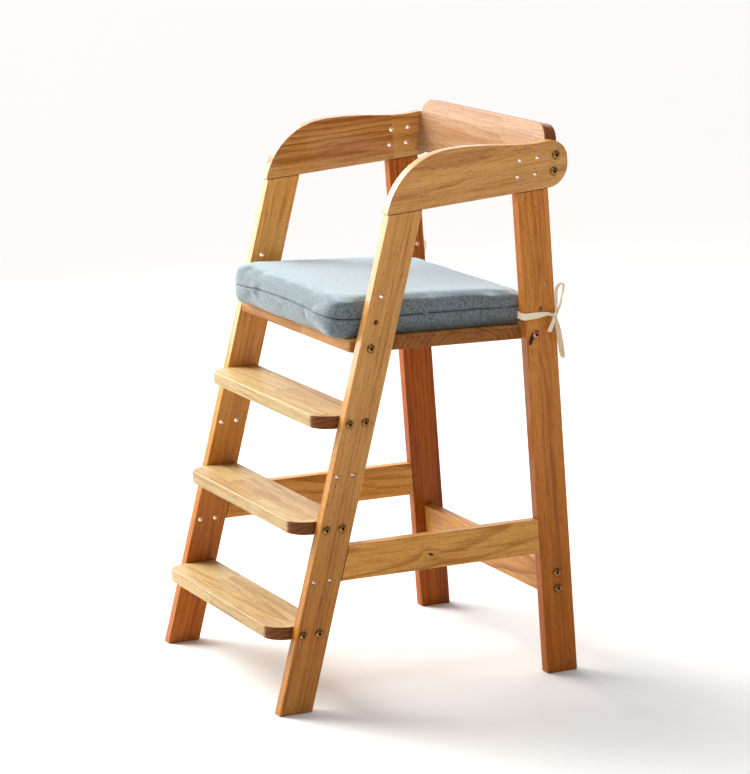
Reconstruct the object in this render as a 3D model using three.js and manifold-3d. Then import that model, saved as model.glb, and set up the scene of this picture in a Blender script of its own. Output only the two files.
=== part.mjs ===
// Baby high chair: two glued A-shaped side frames, with steps, a seat board, a backrest and a rear
// stretcher bolted between them, and a tied-on seat cushion.
// Millimetres, +Z up, the front of the chair towards -Y, "right" towards +X.
// The origin is on the floor, in the middle of the chair's outline.

import * as THREE from 'three';
import { mergeVertices } from 'three/addons/utils/BufferGeometryUtils.js';
import Module from 'manifold-3d';

// ---------------------------------------------------------------- driving dimensions

const WIDTH = 420;                 // over the outer faces of the side frames
const BOARD = 18;                  // thickness of the side frames' boards
const GAP = 0.3;                   // clearance between touching pieces
const FOOT_LENGTH = 500;           // front toe to rear heel on the floor

const FRONT_LEAN = THREE.MathUtils.degToRad(13.9);   // front legs lean back
const REAR_LEAN = THREE.MathUtils.degToRad(4.8);     // rear legs lean forward
const FRONT_LEG_WIDTH = 52.7;      // along the floor
const REAR_LEG_WIDTH = 52;         // along the floor
const ARMREST_FRONT_Z = 717.5;     // armrest's lower edge over the front edge of the front leg
const ARMREST_LIP = 3;             // armrest tip in front of the leg

const RAIL_BOTTOM = 190;           // side stretcher
const RAIL_TOP = 242;

const STEP_ROWS = 5;               // rows of step holes in a front leg
const STEP_FIRST_Z = 117;
const STEP_PITCH = 76;
const STEP_THICK = 19;
const STEP_NOSE = 32;              // step's front edge before the leg's front edge
const STEP_DEPTH = 84;
const STEP_CORNER = 30;
const STEP_USED_ROWS = { lower: 0, middle: 2, upper: 4 };
const STEP_HOLE_OFFSETS = { front: 9.2, rear: 34.7 };   // behind the leg's front edge

const SEAT_HOLE_ROWS = 3;
const SEAT_FIRST_Z = 528;          // front hole of the lowest seat position
const SEAT_PITCH = 37;
const SEAT_HOLE_OFFSET = 17;       // behind the leg's front edge
const SEAT_HOLE_SPAN = 272;        // front hole to rear hole
const SEAT_TILT = THREE.MathUtils.degToRad(0.75);       // the seat falls towards the back
const SEAT_THICK = 18;
const SEAT_FRONT = 22;             // board in front of its front bolts
const SEAT_BACK = 26;              // board behind its rear bolts
const SEAT_CORNER = 14;

const BACKREST_LEAN = THREE.MathUtils.degToRad(7.4);
const BACKREST_THICK = 20;
const BACKREST_HEIGHT = 82;
const BACKREST_BELOW_BOLT = 17;    // board below its lower bolts
const BACKREST_CORNER = 27;
const BACKREST_ROW_SPACING = 24;
const BACKREST_COLUMNS = 3;
const BACKREST_COLUMN_PITCH = 29.5;
const BACKREST_FIRST = { a: 216, b: 23.5 };   // front lower hole, along and above the armrest's edge

const STRETCHER_THICK = 18;
const STRETCHER_HEIGHT = 52;
const STRETCHER_MIDDLE_Z = 145;
const STRETCHER_BOLT_SPACING = 25;

const TENON_THICK = 8;
const TENON_LENGTH = 14;
const TENON_ROOT = 6;              // how far a tenon starts inside its own board
const LEG_TENON_WIDTH = 28;
const RAIL_TENON_HEIGHT = 36;

const HOLE_RADIUS = 4;             // clearance holes in the side frames
const SOCKET_RADIUS = 3.4;         // bolt sockets in the boards between the frames
const BOLT_RADIUS = 3;             // M6
const BOLT_LENGTH = 50;
const HEAD_RADIUS = 6.3;
const HEAD_HEIGHT = 3.4;
const HEAD_RIM = 1;                // upright edge of the head, under its dome
const HEAD_FLAT_RADIUS = 3.3;      // flat middle of the head
const HEX_RADIUS = 2.3;            // over the corners of the 4 mm key socket
const HEX_DEPTH = 2.2;
const TIP_CLEARANCE = 2;           // socket beyond the bolt's tip
const NUT_INSET = 22;              // nut axis from the board's end
const NUT_RADIUS = 5;
const NUT_LENGTH = 14;
const NUT_BAR = new THREE.Vector3(7, 38, 13);
const THROUGH = 12;                // how far a cutter stands out of the face it opens

const CUSHION_WIDTH = 376;
const CUSHION_THICK = 52;
const CUSHION_FRONT = 36;          // cushion in front of the seat board
const CUSHION_LENGTH = 348;
const CUSHION_CORNER = 30;
const CUSHION_BULGE = 7;           // how far the side swells out at the middle seam
const CUSHION_SEAM_BAND = 3;       // upright band along the seam

const TAPE_WIDTH = 10;
const TAPE_DROP = 6;               // tape below the cushion's seam
const TAPE_THICK = 1.2;
const TAPE_CLEARANCE = 0.4;        // between the tape and the leg
const KNOT_RADIUS = 4.6;
const KNOT_OUTWARDS = 3.4;         // knot's middle outside the tape
const KNOT_FORWARDS = 4;           // knot's middle in front of the tape's rear side
const KNOT_DROP = 2.5;             // knot's middle below the tape's
const BOW_THICK = 2.4;
// Where each end of the bow lies from the knot, rearwards and up, and how wide it is there.
const BOW_ENDS = [
  { rear: 12, up: 48, width: 12 },
  { rear: 14.6, up: -67, width: 9 },
  { rear: -10, up: -25, width: 7 },
];

const CIRCLE_STEPS = 16;
const BOLT_STEPS = 10;
const CURVE_STEPS = 12;
const BOW_STEPS = 7;

// ---------------------------------------------------------------- derived dimensions

const INNER_X = WIDTH / 2 - BOARD;                 // inner faces of the side frames
const SPAN = 2 * (INNER_X - GAP);                  // boards between the frames
const FRAME_X = WIDTH / 2 - BOARD / 2;             // middle plane of a side frame
const frontSlope = Math.tan(FRONT_LEAN);
const rearSlope = -Math.tan(REAR_LEAN);
const lowestNose = frontSlope * STEP_FIRST_Z - STEP_NOSE;
const TOE_Y = -(lowestNose + FOOT_LENGTH) / 2;     // centres the outline on the origin
const HEEL_Y = TOE_Y + FOOT_LENGTH;

const SIDES = { left: -1, right: 1 };

// The edges of the legs, seen from the side, as the Y of the edge at height z.
const frontLegFront = (z) => TOE_Y + frontSlope * z;
const frontLegRear = (z) => frontLegFront(z) + FRONT_LEG_WIDTH;
const rearLegRear = (z) => HEEL_Y + rearSlope * z;
const rearLegFront = (z) => rearLegRear(z) - REAR_LEG_WIDTH;

// The armrest has its own axes, seen from the side: a along its lower edge, b square to it.
const armJoint = new THREE.Vector2(frontLegFront(ARMREST_FRONT_Z), ARMREST_FRONT_Z);
const armAlong = new THREE.Vector2(Math.cos(REAR_LEAN), Math.sin(REAR_LEAN));
const armUp = new THREE.Vector2(-armAlong.y, armAlong.x);
const armOrigin = armJoint.clone().addScaledVector(armAlong, -ARMREST_LIP);
const armPoint = (a, b) => armOrigin.clone().addScaledVector(armAlong, a).addScaledVector(armUp, b);

// ---------------------------------------------------------------- solids

const wasm = await Module();
wasm.setup();

function toSolid(geometry) {
  const bare = geometry.clone();
  bare.deleteAttribute('normal');
  bare.deleteAttribute('uv');
  const merged = mergeVertices(bare, 1e-4);
  const mesh = new wasm.Mesh({
    numProp: 3,
    vertProperties: new Float32Array(merged.attributes.position.array),
    triVerts: new Uint32Array(merged.index.array),
  });
  return new wasm.Manifold(mesh);
}

function toGeometry(solid) {
  const mesh = solid.getMesh();
  const geometry = new THREE.BufferGeometry();
  geometry.setAttribute('position', new THREE.BufferAttribute(mesh.vertProperties, 3));
  geometry.setIndex(new THREE.BufferAttribute(mesh.triVerts, 1));
  geometry.computeVertexNormals();
  return geometry;
}

function cut(geometry, tools) {
  const solid = tools.reduce((rest, tool) => rest.subtract(toSolid(tool)), toSolid(geometry));
  return toGeometry(solid);
}

function join(geometry, extras) {
  const solid = extras.reduce((rest, extra) => rest.add(toSolid(extra)), toSolid(geometry));
  return toGeometry(solid);
}

// An outline in the side view (Y, Z), made into a plate that is centred on x.
function sidePlate(outline, x, thickness, curveSegments = CURVE_STEPS) {
  const shape = outline instanceof THREE.Shape ? outline : new THREE.Shape(outline);
  const geometry = new THREE.ExtrudeGeometry(
    shape, { depth: thickness, bevelEnabled: false, curveSegments });
  const axes = new THREE.Matrix4().makeBasis(
    new THREE.Vector3(0, 1, 0), new THREE.Vector3(0, 0, 1), new THREE.Vector3(1, 0, 0));
  return geometry.applyMatrix4(axes).translate(x - thickness / 2, 0, 0);
}

// A cylinder along X between two x positions, at a point of the side view.
function crossHole(point, fromX, toX, radius, steps = CIRCLE_STEPS) {
  const geometry = new THREE.CylinderGeometry(radius, radius, Math.abs(toX - fromX), steps);
  return geometry.rotateZ(Math.PI / 2).translate((fromX + toX) / 2, point.x, point.y);
}

function box(size, centre) {
  return new THREE.BoxGeometry(size.x, size.y, size.z).translate(centre.x, centre.y, centre.z);
}

// A rectangle with its corners at four radii: lower left, lower right, upper right, upper left.
function roundedRectangle(x0, y0, x1, y1, radii) {
  const [r0, r1, r2, r3] = radii;
  const quarter = Math.PI / 2;
  const shape = new THREE.Shape();
  const corner = (x, y, r, start) => {
    if (r > 0) shape.absarc(x, y, r, start, start + quarter, false);
    else shape.lineTo(x, y);
  };
  shape.moveTo(x0 + r0, y0);
  corner(x1 - r1, y0 + r1, r1, -quarter);
  corner(x1 - r2, y1 - r2, r2, 0);
  corner(x0 + r3, y1 - r3, r3, quarter);
  corner(x0 + r0, y0 + r0, r0, 2 * quarter);
  return shape;
}

// ---------------------------------------------------------------- materials

const finish = (name, color, roughness, metalness = 0) =>
  new THREE.MeshStandardMaterial({ name, color, roughness, metalness });
const HONEY = 0xc98f4e;
const PALE_HONEY = 0xd9a868;
const STEEL = 0xb9bcc0;
const ANTIQUE_BRASS = 0x8a7440;
const HEATHER = 0x8fa3b0;
const CREAM = 0xe9dcc0;

const chair = new THREE.Group();

function place(name, geometry, material) {
  const mesh = new THREE.Mesh(geometry, material);
  mesh.name = name;
  chair.add(mesh);
  return mesh;
}

// ---------------------------------------------------------------- hole patterns (side view)

const stepHole = (row, end) => {
  const z = STEP_FIRST_Z + row * STEP_PITCH;
  return new THREE.Vector2(frontLegFront(z) + STEP_HOLE_OFFSETS[end], z);
};

const seatHole = (row, end) => {
  const z = SEAT_FIRST_Z + row * SEAT_PITCH;
  const front = new THREE.Vector2(frontLegFront(z) + SEAT_HOLE_OFFSET, z);
  if (end === 'front') return front;
  const span = new THREE.Vector2(Math.cos(SEAT_TILT), -Math.sin(SEAT_TILT));
  return front.addScaledVector(span, SEAT_HOLE_SPAN);
};

// Columns run up the backrest, which leans more than the armrest's own axes do.
const backrestUp = new THREE.Vector2(Math.sin(BACKREST_LEAN), Math.cos(BACKREST_LEAN));
const backrestHole = (column, level) => {
  const foot = armPoint(BACKREST_FIRST.a + column * BACKREST_COLUMN_PITCH, BACKREST_FIRST.b);
  return foot.addScaledVector(backrestUp, level === 'upper' ? BACKREST_ROW_SPACING : 0);
};

// Up along the rear leg.
const rearLegUp = new THREE.Vector2(-Math.sin(REAR_LEAN), Math.cos(REAR_LEAN));
const stretcherCentre = new THREE.Vector2(
  rearLegRear(STRETCHER_MIDDLE_Z) - REAR_LEG_WIDTH / 2, STRETCHER_MIDDLE_Z);
const stretcherHole = (level) => {
  const offset = (level === 'upper' ? 0.5 : -0.5) * STRETCHER_BOLT_SPACING;
  return stretcherCentre.clone().addScaledVector(rearLegUp, offset);
};

const rows = (count) => Array.from({ length: count }, (_, row) => row);
const stepHoles = rows(STEP_ROWS).flatMap((row) => [stepHole(row, 'front'), stepHole(row, 'rear')]);
const seatHoles = (end) => rows(SEAT_HOLE_ROWS).map((row) => seatHole(row, end));
const backrestHoles = rows(BACKREST_COLUMNS).flatMap(
  (column) => [backrestHole(column, 'lower'), backrestHole(column, 'upper')]);
const stretcherHoles = [stretcherHole('lower'), stretcherHole('upper')];

// ---------------------------------------------------------------- side frames

// The height at which a leg's edge meets a line parallel to the armrest's lower edge, b above it.
function meetArmrest(edge, b) {
  const base = armPoint(0, b);
  const slope = armAlong.y / armAlong.x;
  const edgeSlope = edge(1) - edge(0);
  const z = (base.y + slope * (edge(0) - base.x)) / (1 - slope * edgeSlope);
  return new THREE.Vector2(edge(z), z);
}

function legOutline(frontEdge, rearEdge) {
  return [
    new THREE.Vector2(frontEdge(0), 0),
    new THREE.Vector2(rearEdge(0), 0),
    meetArmrest(rearEdge, -GAP),
    meetArmrest(frontEdge, -GAP),
  ];
}

// A stub tenon on the top of a leg, in the armrest's axes; grow widens it into its mortise.
function legTenon(middle, grow) {
  const half = LEG_TENON_WIDTH / 2 + grow;
  const top = TENON_LENGTH + grow;
  return [armPoint(middle - half, -TENON_ROOT), armPoint(middle + half, -TENON_ROOT),
    armPoint(middle + half, top), armPoint(middle - half, top)];
}

// A stub tenon on an end of the side stretcher, from inside the rail into the leg.
function railTenon(legEdge, direction, grow) {
  const middle = (RAIL_BOTTOM + RAIL_TOP) / 2;
  const bottom = middle - RAIL_TENON_HEIGHT / 2 - grow;
  const top = middle + RAIL_TENON_HEIGHT / 2 + grow;
  const reach = (z, distance) => new THREE.Vector2(legEdge(z) + direction * distance, z);
  const depth = TENON_LENGTH + grow;
  const outline = [reach(bottom, -TENON_ROOT), reach(bottom, depth),
    reach(top, depth), reach(top, -TENON_ROOT)];
  return direction > 0 ? outline : outline.reverse();
}

const alongArm = (point) => point.clone().sub(armOrigin).dot(armAlong);
const middleUnderArm = (frontEdge, rearEdge) =>
  (alongArm(meetArmrest(frontEdge, 0)) + alongArm(meetArmrest(rearEdge, 0))) / 2;
const frontTenonMiddle = middleUnderArm(frontLegFront, frontLegRear);
const rearTenonMiddle = middleUnderArm(rearLegFront, rearLegRear);
const tenonPlate = (outline, x, grow) => sidePlate(outline, x, TENON_THICK + 2 * grow);
const drill = (holes, x) => holes.map((hole) => crossHole(hole, x - BOARD, x + BOARD, HOLE_RADIUS));

function frontLeg(x) {
  const board = sidePlate(legOutline(frontLegFront, frontLegRear), x, BOARD);
  const tenoned = join(board, [tenonPlate(legTenon(frontTenonMiddle, 0), x, 0)]);
  const mortise = tenonPlate(railTenon(frontLegRear, -1, GAP), x, GAP);
  return cut(tenoned, [mortise, ...drill([...stepHoles, ...seatHoles('front')], x)]);
}

function rearLeg(x) {
  const board = sidePlate(legOutline(rearLegFront, rearLegRear), x, BOARD);
  const tenoned = join(board, [tenonPlate(legTenon(rearTenonMiddle, 0), x, 0)]);
  const mortise = tenonPlate(railTenon(rearLegFront, 1, GAP), x, GAP);
  return cut(tenoned, [mortise, ...drill([...seatHoles('rear'), ...stretcherHoles], x)]);
}

function sideStretcher(x) {
  const outline = [
    new THREE.Vector2(frontLegRear(RAIL_BOTTOM) + GAP, RAIL_BOTTOM),
    new THREE.Vector2(rearLegFront(RAIL_BOTTOM) - GAP, RAIL_BOTTOM),
    new THREE.Vector2(rearLegFront(RAIL_TOP) - GAP, RAIL_TOP),
    new THREE.Vector2(frontLegRear(RAIL_TOP) + GAP, RAIL_TOP),
  ];
  const tenons = [tenonPlate(railTenon(frontLegRear, -1, 0), x, 0),
    tenonPlate(railTenon(rearLegFront, 1, 0), x, 0)];
  return join(sidePlate(outline, x, BOARD), tenons);
}

// The armrest rises in a quick curve from its tip, dips a little and ends in a round nose.
function armrestOutline() {
  const at = (a, b) => armPoint(a, b).toArray();
  const length = 300;
  const crest = { a: 110, b: 80 };
  const neck = { a: 255, b: 68 };
  const noseTop = neck.b + 1;
  const upperNose = 28;
  const lowerNose = 35;
  const level = REAR_LEAN;
  const quarter = Math.PI / 2;
  const shape = new THREE.Shape();
  shape.moveTo(...at(0, 0));
  shape.lineTo(...at(length - lowerNose, 0));
  shape.absarc(...at(length - lowerNose, lowerNose), lowerNose, level - quarter, level, false);
  shape.absarc(
    ...at(length - upperNose, noseTop - upperNose), upperNose, level, level + quarter, false);
  shape.lineTo(...at(neck.a, neck.b));
  shape.bezierCurveTo(...at(208, neck.b), ...at(175, crest.b), ...at(crest.a, crest.b));
  shape.bezierCurveTo(...at(50, crest.b), ...at(13, 44), ...at(0, 0));
  return shape;
}

function armrest(x) {
  const mortises = [frontTenonMiddle, rearTenonMiddle].map(
    (middle) => tenonPlate(legTenon(middle, GAP), x, GAP));
  return cut(sidePlate(armrestOutline(), x, BOARD), [...mortises, ...drill(backrestHoles, x)]);
}

for (const [side, sign] of Object.entries(SIDES)) {
  const x = sign * FRAME_X;
  place(`front_leg_${side}`, frontLeg(x), finish('front_leg', HONEY, 0.42));
  place(`rear_leg_${side}`, rearLeg(x), finish('rear_leg', HONEY, 0.42));
  place(`armrest_${side}`, armrest(x), finish('armrest', HONEY, 0.4));
  place(`side_stretcher_${side}`, sideStretcher(x), finish('side_stretcher', HONEY, 0.42));
}

// ---------------------------------------------------------------- bolts and nuts

// Button-head bolt along X with its head towards +X; the origin is under the head.
function boltGeometry() {
  const profile = new THREE.Path();
  profile.moveTo(0, -BOLT_LENGTH);
  profile.lineTo(BOLT_RADIUS, -BOLT_LENGTH);
  profile.lineTo(BOLT_RADIUS, 0);
  profile.lineTo(HEAD_RADIUS, 0);
  profile.lineTo(HEAD_RADIUS, HEAD_RIM);
  profile.quadraticCurveTo(HEAD_RADIUS - 1, HEAD_HEIGHT, HEAD_FLAT_RADIUS, HEAD_HEIGHT);
  profile.lineTo(0, HEAD_HEIGHT);
  const body = new THREE.LatheGeometry(profile.getPoints(2), BOLT_STEPS);
  const socket = new THREE.CylinderGeometry(HEX_RADIUS, HEX_RADIUS, 2 * HEX_DEPTH, 6)
    .translate(0, HEAD_HEIGHT, 0);
  return cut(body, [socket]).rotateZ(-Math.PI / 2);
}
const boltShape = boltGeometry();

function placeBolt(name, sign, hole) {
  const bolt = place(name, boltShape, finish('bolt', ANTIQUE_BRASS, 0.35, 0.9));
  bolt.position.set(sign * (WIDTH / 2 + GAP), hole.x, hole.y);
  bolt.rotation.z = sign > 0 ? 0 : Math.PI;
}

// Barrel nut: a short cylinder across the bolt, along local Y, with the bolt's hole through it.
function barrelNutGeometry() {
  const barrel = new THREE.CylinderGeometry(NUT_RADIUS, NUT_RADIUS, NUT_LENGTH, BOLT_STEPS);
  const tap = crossHole(new THREE.Vector2(), -NUT_LENGTH, NUT_LENGTH, SOCKET_RADIUS, BOLT_STEPS);
  return cut(barrel, [tap]);
}
const barrelNutShape = barrelNutGeometry();

const NUT_X = INNER_X - NUT_INSET;
const SOCKET_END = WIDTH / 2 - BOLT_LENGTH - TIP_CLEARANCE;

// The sockets that the bolts enter, in both ends of a board.
const boltSockets = (holes) => Object.values(SIDES).flatMap((sign) => holes.map(
  (hole) => crossHole(
    hole, sign * SOCKET_END, sign * (INNER_X + THROUGH), SOCKET_RADIUS, BOLT_STEPS)));

// Pockets for barrel nuts, from one face of a board to just past the far end of the nut. The axis
// points out of the pocket, and depth is how far the pocket's floor lies beyond the bolt's axis.
function nutPockets(holes, axis) {
  const depth = NUT_LENGTH / 2 + GAP;
  const mouth = BACKREST_THICK / 2 + THROUGH;
  const turn = new THREE.Quaternion().setFromUnitVectors(new THREE.Vector3(0, 1, 0), axis);
  return Object.values(SIDES).flatMap((sign) => holes.map((hole) => {
    const radius = NUT_RADIUS + GAP;
    const pocket = new THREE.CylinderGeometry(radius, radius, mouth + depth, BOLT_STEPS);
    pocket.translate(0, (mouth - depth) / 2, 0).applyQuaternion(turn);
    return pocket.translate(sign * NUT_X, hole.x, hole.y);
  }));
}

function placeBarrelNut(name, sign, hole, axis) {
  const nut = place(name, barrelNutShape, finish('barrel_nut', STEEL, 0.4, 0.9));
  nut.position.set(sign * NUT_X, hole.x, hole.y);
  nut.quaternion.setFromUnitVectors(new THREE.Vector3(0, 1, 0), axis);
}

// ---------------------------------------------------------------- steps

function stepBoard(row) {
  const front = stepHole(row, 'front');
  const nose = frontLegFront(front.y) - STEP_NOSE;
  const half = SPAN / 2;
  const outline = roundedRectangle(
    -half, nose, half, nose + STEP_DEPTH, [STEP_CORNER, STEP_CORNER, 0, 0]);
  const options = { depth: STEP_THICK, bevelEnabled: false, curveSegments: CURVE_STEPS / 2 };
  const board = new THREE.ExtrudeGeometry(outline, options).translate(0, 0, front.y - STEP_THICK / 2);
  const holes = [front, stepHole(row, 'rear')];
  const slots = Object.values(SIDES).map((sign) => nutBarBox(row, sign, GAP, THROUGH));
  return cut(board, [...boltSockets(holes), ...slots]);
}

// The nut bar's box; grow widens it into its slot, and drop runs the slot out of the underside.
function nutBarBox(row, sign, grow, drop) {
  const middle = stepHole(row, 'front').lerp(stepHole(row, 'rear'), 0.5);
  const size = NUT_BAR.clone().addScalar(2 * grow);
  size.z += drop;
  return box(size, new THREE.Vector3(sign * NUT_X, middle.x, middle.y - drop / 2));
}

function nutBar(row, sign) {
  const holes = [stepHole(row, 'front'), stepHole(row, 'rear')];
  const reach = NUT_BAR.x;
  const taps = holes.map((hole) => crossHole(
    hole, sign * NUT_X - reach, sign * NUT_X + reach, SOCKET_RADIUS, BOLT_STEPS));
  return cut(nutBarBox(row, sign, 0, 0), taps);
}

for (const [level, row] of Object.entries(STEP_USED_ROWS)) {
  place(`step_${level}`, stepBoard(row), finish('step', PALE_HONEY, 0.42));
  for (const [side, sign] of Object.entries(SIDES)) {
    const steel = finish('nut_bar', STEEL, 0.4, 0.9);
    place(`step_${level}_nut_bar_${side}`, nutBar(row, sign), steel);
    for (const end of ['front', 'rear']) {
      placeBolt(`step_${level}_bolt_${side}_${end}`, sign, stepHole(row, end));
    }
  }
}

// ---------------------------------------------------------------- seat board

// Everything on the seat is built in the seat's own axes, with the origin on its front bolts, and
// then tilted and moved as one.
const seatFront = seatHole(0, 'front');
const seatFrame = new THREE.Matrix4().makeRotationX(-SEAT_TILT)
  .setPosition(0, seatFront.x, seatFront.y);
const seatHolesLocal = [new THREE.Vector2(0, 0), new THREE.Vector2(SEAT_HOLE_SPAN, 0)];
const downFromSeat = new THREE.Vector3(0, 0, -1);

function seatBoard() {
  const half = SPAN / 2;
  const outline = roundedRectangle(-half, -SEAT_FRONT, half, SEAT_HOLE_SPAN + SEAT_BACK,
    [SEAT_CORNER, SEAT_CORNER, 0, 0]);
  const options = { depth: SEAT_THICK, bevelEnabled: false, curveSegments: CURVE_STEPS / 2 };
  const board = new THREE.ExtrudeGeometry(outline, options).translate(0, 0, -SEAT_THICK / 2);
  const cutters = [...boltSockets(seatHolesLocal), ...nutPockets(seatHolesLocal, downFromSeat)];
  return cut(board, cutters).applyMatrix4(seatFrame);
}

place('seat_board', seatBoard(), finish('seat_board', HONEY, 0.42));
const seatNutAxis = downFromSeat.clone().transformDirection(seatFrame);
for (const [side, sign] of Object.entries(SIDES)) {
  for (const end of ['front', 'rear']) {
    placeBolt(`seat_bolt_${side}_${end}`, sign, seatHole(0, end));
    placeBarrelNut(`seat_nut_${side}_${end}`, sign, seatHole(0, end), seatNutAxis);
  }
}

// ---------------------------------------------------------------- backrest

// Built flat with its lower bolts on the origin, the thickness along Y, then leaned and moved.
const backrestFoot = backrestHole(BACKREST_COLUMNS - 1, 'lower');
const backrestFrame = new THREE.Matrix4().makeRotationX(-BACKREST_LEAN)
  .setPosition(0, backrestFoot.x, backrestFoot.y);
const backrestHolesLocal = [new THREE.Vector2(0, 0), new THREE.Vector2(0, BACKREST_ROW_SPACING)];
const rearwards = new THREE.Vector3(0, 1, 0);

function backrest() {
  const half = SPAN / 2;
  const top = BACKREST_HEIGHT - BACKREST_BELOW_BOLT;
  const outline = roundedRectangle(-half, -BACKREST_BELOW_BOLT, half, top,
    [0, 0, BACKREST_CORNER, BACKREST_CORNER]);
  const options = { depth: BACKREST_THICK, bevelEnabled: false, curveSegments: CURVE_STEPS / 2 };
  const board = new THREE.ExtrudeGeometry(outline, options)
    .rotateX(Math.PI / 2).translate(0, BACKREST_THICK / 2, 0);
  const cutters = [...boltSockets(backrestHolesLocal), ...nutPockets(backrestHolesLocal, rearwards)];
  return cut(board, cutters).applyMatrix4(backrestFrame);
}

place('backrest', backrest(), finish('backrest', HONEY, 0.4));
const backrestNutAxis = rearwards.clone().transformDirection(backrestFrame);
for (const [side, sign] of Object.entries(SIDES)) {
  for (const level of ['lower', 'upper']) {
    const hole = backrestHole(BACKREST_COLUMNS - 1, level);
    placeBolt(`backrest_bolt_${side}_${level}`, sign, hole);
    placeBarrelNut(`backrest_nut_${side}_${level}`, sign, hole, backrestNutAxis);
  }
}

// ---------------------------------------------------------------- rear stretcher

const stretcherFrame = new THREE.Matrix4().makeRotationX(REAR_LEAN)
  .setPosition(0, stretcherCentre.x, stretcherCentre.y);
const stretcherHolesLocal = [-0.5, 0.5].map(
  (half) => new THREE.Vector2(0, half * STRETCHER_BOLT_SPACING));

function rearStretcher() {
  const size = new THREE.Vector3(SPAN, STRETCHER_THICK, STRETCHER_HEIGHT);
  const cutters = [...boltSockets(stretcherHolesLocal), ...nutPockets(stretcherHolesLocal, rearwards)];
  return cut(box(size, new THREE.Vector3()), cutters).applyMatrix4(stretcherFrame);
}

place('rear_stretcher', rearStretcher(), finish('rear_stretcher', HONEY, 0.42));
const stretcherNutAxis = rearwards.clone().transformDirection(stretcherFrame);
for (const [side, sign] of Object.entries(SIDES)) {
  for (const level of ['lower', 'upper']) {
    placeBolt(`stretcher_bolt_${side}_${level}`, sign, stretcherHole(level));
    placeBarrelNut(`stretcher_nut_${side}_${level}`, sign, stretcherHole(level), stretcherNutAxis);
  }
}

// ---------------------------------------------------------------- cushion and its ties

// Boxed cushion: rounded corners, fullest along the seam at half its height.
function cushion() {
  const inset = CUSHION_BULGE;
  const half = CUSHION_WIDTH / 2 - inset;
  const front = -SEAT_FRONT - CUSHION_FRONT + inset;
  const outline = roundedRectangle(-half, front, half, front + CUSHION_LENGTH - 2 * inset,
    Array(4).fill(CUSHION_CORNER - inset));
  const rise = (CUSHION_THICK - CUSHION_SEAM_BAND) / 2;
  const options = {
    depth: CUSHION_SEAM_BAND,
    bevelThickness: rise,
    bevelSize: inset,
    bevelSegments: 3,
    curveSegments: 4,
  };
  return new THREE.ExtrudeGeometry(outline, options)
    .translate(0, 0, SEAT_THICK / 2 + GAP + rise).applyMatrix4(seatFrame);
}

place('seat_cushion', cushion(), finish('cushion_cloth', HEATHER, 0.95));

// The middle of the tape, on the rear leg's axis a little below the cushion's seam.
const tapeHeight = SEAT_THICK / 2 + GAP + CUSHION_THICK / 2 - TAPE_DROP;
const tapeAtLeg = new THREE.Vector3(0, SEAT_HOLE_SPAN, tapeHeight).applyMatrix4(seatFrame);
const tapeMiddle = new THREE.Vector2(rearLegRear(tapeAtLeg.z) - REAR_LEG_WIDTH / 2, tapeAtLeg.z);

// A tape round the rear leg, knotted on its outer face into a bow, with a tab to the cushion.
function cushionTie(sign) {
  const innerX = BOARD / 2 + TAPE_CLEARANCE;
  const innerY = REAR_LEG_WIDTH * Math.cos(REAR_LEAN) / 2 + TAPE_CLEARANCE;
  const outerX = innerX + TAPE_THICK;
  const outerY = innerY + TAPE_THICK;
  const square = [0, 0, 0, 0];
  const loop = roundedRectangle(-outerX, -outerY, outerX, outerY, square);
  loop.holes.push(roundedRectangle(-innerX, -innerY, innerX, innerY, square));
  const ring = new THREE.ExtrudeGeometry(loop, { depth: TAPE_WIDTH, bevelEnabled: false })
    .translate(0, 0, -TAPE_WIDTH / 2).rotateX(REAR_LEAN)
    .translate(sign * FRAME_X, tapeMiddle.x, tapeMiddle.y);

  const knot = new THREE.Vector3(
    sign * (FRAME_X + outerX + KNOT_OUTWARDS), tapeMiddle.x + outerY - KNOT_FORWARDS,
    tapeMiddle.y - KNOT_DROP);
  const ball = new THREE.IcosahedronGeometry(KNOT_RADIUS, 1).translate(knot.x, knot.y, knot.z);
  const ends = BOW_ENDS.map(({ rear, up, width }) => {
    const petal = new THREE.Shape();
    petal.absellipse(knot.y + rear / 2, knot.z + up / 2, Math.hypot(rear, up) / 2, width / 2,
      0, 2 * Math.PI, false, Math.atan2(up, rear));
    return sidePlate(petal, knot.x, BOW_THICK, BOW_STEPS);
  });

  const cushionX = CUSHION_WIDTH / 2 + GAP;
  const tabX = FRAME_X - outerX + TAPE_THICK / 2;   // ends inside the ring
  const tab = box(new THREE.Vector3(tabX - cushionX, TAPE_WIDTH, TAPE_WIDTH / 2),
    new THREE.Vector3(sign * (tabX + cushionX) / 2, tapeMiddle.x - outerY + TAPE_WIDTH, tapeMiddle.y));
  return join(ring, [ball, ...ends, tab]);
}

for (const [side, sign] of Object.entries(SIDES)) {
  place(`cushion_tie_${side}`, cushionTie(sign), finish('tie_tape', CREAM, 0.9));
}

export default chair;
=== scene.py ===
import math
import random

import bmesh
import bpy
import numpy as np
from mathutils import Matrix, Vector, noise


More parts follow.
